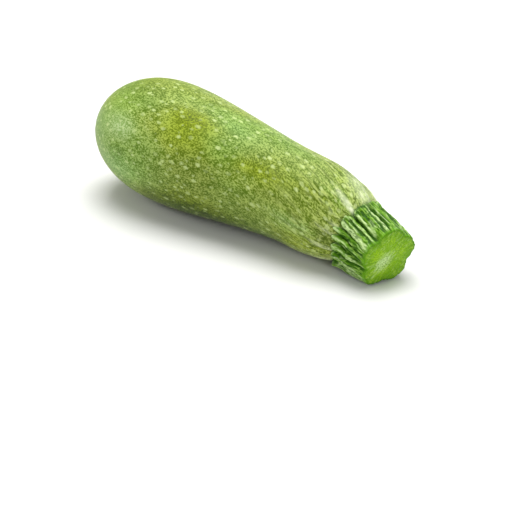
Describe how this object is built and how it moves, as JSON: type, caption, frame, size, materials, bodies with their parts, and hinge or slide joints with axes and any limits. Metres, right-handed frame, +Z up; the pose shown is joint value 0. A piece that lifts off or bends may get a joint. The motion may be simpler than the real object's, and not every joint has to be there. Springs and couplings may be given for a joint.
{
  "type": "courgette",
  "caption": "Short, thick pale green courgette lying on its side: a round blossom end, a fruit that tapers to a narrow neck, and a ribbed, cut stem stub.",
  "frame": {"origin": "The centre of the bottom of the whole part's bounding box, on the surface that the courgette lies on.", "axes": "+X runs along the length, from the blossom end to the cut stem. +Z is up. +Y is across the fruit, away from the side that the stem turns to."},
  "size_m": [0.1684, 0.0554, 0.0553],
  "materials": {
    "skin": "satin",
    "stem_rind": "satin",
    "cut_face": "satin",
    "blossom_scar": "matte"
  },
  "bodies": {
    "root": {"fruit": "skin", "stem": "stem_rind"}
  },
  "joints": []
}
